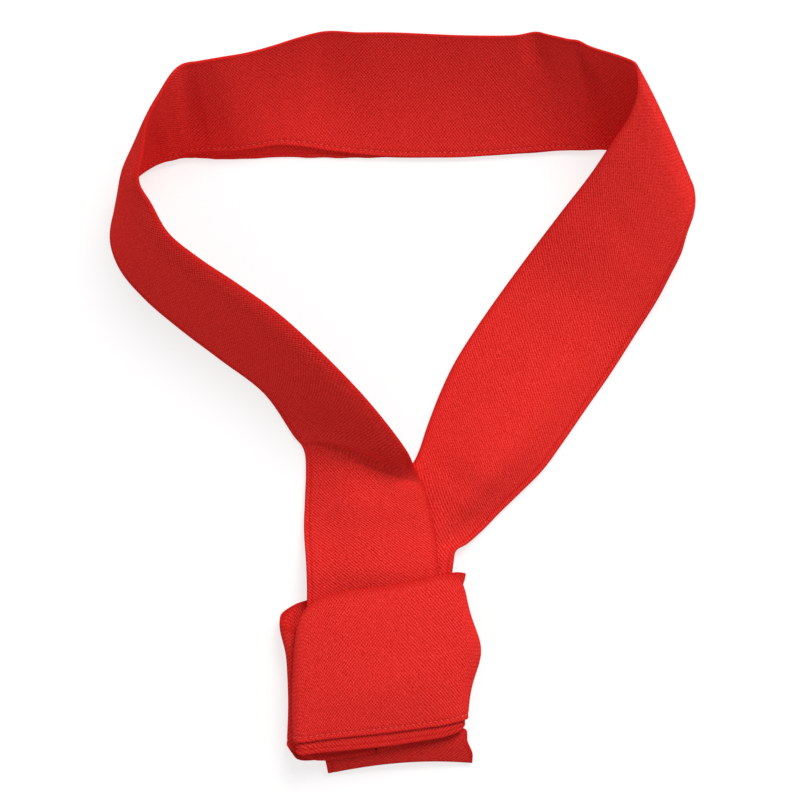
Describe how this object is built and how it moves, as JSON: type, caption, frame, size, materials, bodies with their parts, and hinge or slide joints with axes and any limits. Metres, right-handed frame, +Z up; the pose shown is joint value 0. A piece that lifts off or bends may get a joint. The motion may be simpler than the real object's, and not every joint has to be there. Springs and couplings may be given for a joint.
{
  "type": "neckerchief",
  "caption": "Red cloth neckerchief: a folded, hemmed neck band laid in a loop, its crossed legs gathered in a flat wrapped knot with a short tail end.",
  "frame": {"origin": "middle of the outline on the surface that the neckerchief lies on", "axes": "+Z up from the surface, +Y from the knot to the back of the neck, +X to the leg that passes below the other one"},
  "size_m": [0.2474, 0.3109, 0.0511],
  "materials": {
    "red_cloth": "matt woven cloth with a fine diagonal rib, red stitching along its hems"
  },
  "bodies": {
    "root": {"neck_band": "red_cloth", "knot_wrap": "red_cloth", "knot_underwrap": "red_cloth", "tail_end": "red_cloth"}
  },
  "joints": []
}
